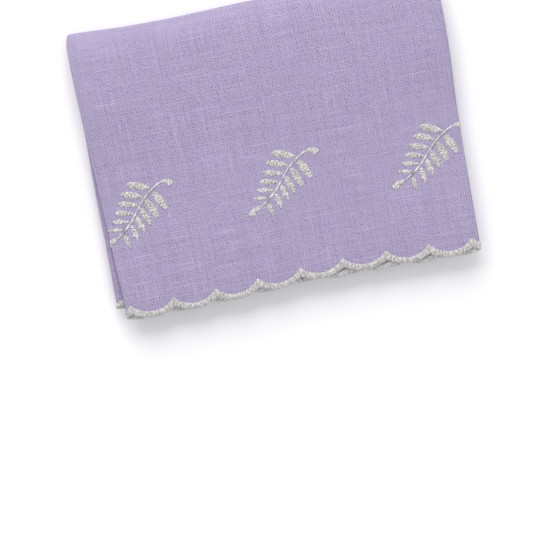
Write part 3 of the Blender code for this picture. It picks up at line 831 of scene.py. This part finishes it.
# %% Chart of one fern, about its own middle
STEM = ((-13.3, -10.7), (-0.5, -4.1), (-0.6, 6.2), (14.1, 12.4))
STEM_WIDTH = 0.9
STEM_FLARES_AT = 0.93                 # the share of the stem's curve that is of even width
FLARE_UPPER = ((13.0, 12.4), (17.5, 14.2), (19.9, 11.4))
FLARE_LOWER = ((13.0, 11.5), (16.6, 11.5), (17.4, 9.0))
LEAFLETS_PER_SIDE = 6
LEAFLET_OFF_STEM = 1.1                # from the middle of the stem to a leaflet's first stitch
LEAFLETS = {
    # side: (at, angle, length, width) of the first, by the cut end, and of the last
    "upper": ((0.85, 157.5, 11.2, 4.0), (0.13, 171.5, 7.0, 2.2)),
    "lower": ((0.85, -65.0, 11.2, 4.4), (0.10, -85.0, 6.9, 2.6)),
}
TIP_LEAFLET = (206.5, 7.7, 3.3)
LEAF_SHAPES = {                       # length and width, as shares
    "upper": ((0.0, 0.26), (0.14, 0.52), (0.38, 0.90), (0.62, 1.0), (0.88, 0.76), (1.0, 0.42)),
    "lower": ((0.0, 0.34), (0.14, 0.68), (0.38, 1.0), (0.62, 0.90), (0.88, 0.54), (1.0, 0.30)),
}
FERNS = (
    # name            U      V     turn, of the middle of each fern
    ("fern_left",   -72.3,  52.1,   1.0),
    ("fern_middle",   0.1,  53.5,   0.6),
    ("fern_right",   72.2,  52.2,  -1.6),
)


def curve_point(points, t):
    """A point of a Bezier curve with any number of handles: halve in on it pair by pair."""
    points = [Vector(point) for point in points]
    while len(points) > 1:
        points = [a.lerp(b, t) for a, b in zip(points, points[1:])]
    return points[0]


def stem_point(t, off=0.0):
    """A point of the stem from its tip (0) to its cut end (1), moved square to it by off."""
    along = (curve_point(STEM, t + 0.01) - curve_point(STEM, t - 0.01)).normalized()
    return curve_point(STEM, t) + off * Vector((-along.y, along.x))


def fern_leaflets():
    """Every leaflet of a fern as (base, shape, angle, length, width)."""
    yield stem_point(0.0), "upper", *TIP_LEAFLET
    for side, (first, last) in LEAFLETS.items():
        hand = 1 if side == "upper" else -1
        for i in range(LEAFLETS_PER_SIDE):
            share = i / (LEAFLETS_PER_SIDE - 1)
            t, *sizes = (a + (b - a) * share for a, b in zip(first, last))
            yield stem_point(t, hand * LEAFLET_OFF_STEM), side, *sizes


print(f"a fern has {len(list(fern_leaflets()))} leaflets")

# %% Stitches across one leaflet, and of the stem
THINNEST = 0.6                        # the shortest stitch
SLANT = 0.28                          # of a leaflet's stitches, as a share of their length
STEM_STITCHES, FLARE_STITCHES = 27, 13
BACK_STITCH = 0.07                    # the length of a stem stitch, as a share of the stem's curve
STEM_SLANT = 0.12                     # how far its ends lie to either side of the stem's middle
SEWN_AS = {                           # width and crown of a thread, W of its ends, step of its number
    "leaflet": (THREAD_PITCH * 1.18, 0.34, LEAFLET_BASE, 1.0),
    "stem": (STEM_WIDTH, 0.28, STEM_BASE, 0.45),
    "flare": (THREAD_PITCH * 1.1, 0.12, STEM_BASE, 0.9),
}


def leaf_width_at(shape, share):
    """The width of a leaflet at a share of its length, over its full width."""
    points = LEAF_SHAPES[shape]
    for (s0, w0), (s1, w1) in zip(points, points[1:]):
        if share <= s1:
            return w0 + (w1 - w0) * (share - s0) / (s1 - s0)
    return points[-1][1]


def leaflet_stitches(base, shape, angle, length, width):
    """Satin stitches across a leaflet, a little slanted, as pairs of ends."""
    out = Vector((math.cos(math.radians(angle)), math.sin(math.radians(angle))))
    across = Vector((-out.y, out.x))
    count = round(length / THREAD_PITCH)
    for i in range(count):
        share = (i + 0.5) / count
        half = across * max(THINNEST, width * leaf_width_at(shape, share)) / 2
        slant = out * SLANT * half.length
        middle = base + out * length * share
        yield middle - half - slant, middle + half + slant


def stem_stitches():
    """Overlapping back stitches along the stem, as pairs of ends."""
    for i in range(STEM_STITCHES):
        t = STEM_FLARES_AT * i / STEM_STITCHES
        yield stem_point(t, -STEM_SLANT), stem_point(t + BACK_STITCH, STEM_SLANT)


def flare_stitches():
    """Satin stitches across the flare, that turn from square to the stem to along its cut."""
    for i in range(FLARE_STITCHES):
        share = i / (FLARE_STITCHES - 1)
        yield curve_point(FLARE_UPPER, share), curve_point(FLARE_LOWER, share)


def fern_stitches(u, v, turn):
    """All stitches of one fern, laid on the flat cloth."""
    middle, turned = Vector((u, v)), Matrix.Rotation(math.radians(turn), 2)
    sewn = [("leaflet", ends) for leaflet in fern_leaflets() for ends in leaflet_stitches(*leaflet)]
    sewn += [("stem", ends) for ends in stem_stitches()] + [("flare", ends) for ends in flare_stitches()]
    laid = []
    for part, (a, b) in sewn:
        wide, crown, base, step = SEWN_AS[part]
        laid.append((lay_rod(middle + turned @ a, middle + turned @ b, wide, crown, base), step))
    return laid


ferns = {}
for name, u, v, turn in FERNS:
    ferns[name] = sew(name + "_stitches", ROD, fern_stitches(u, v, turn), thread["fern"])

# %% [markdown]
# ## Which piece stands for which solid
# Every dressed piece rides on the towel's one body, and takes the place of the plain solid that it
# covers.

# %% Ride and replace
DRESSED = [(cloth, "towel_cloth", "linen"), (border_top, "scallop_border_a", "thread"),
           (border_under, "scallop_border_b", "thread")]
DRESSED += [(fern, name, "thread") for name, fern in ferns.items()]
for piece, solid, slot in DRESSED:
    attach(piece, "root")
    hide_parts(solid)
print("six pieces stand for six solids")
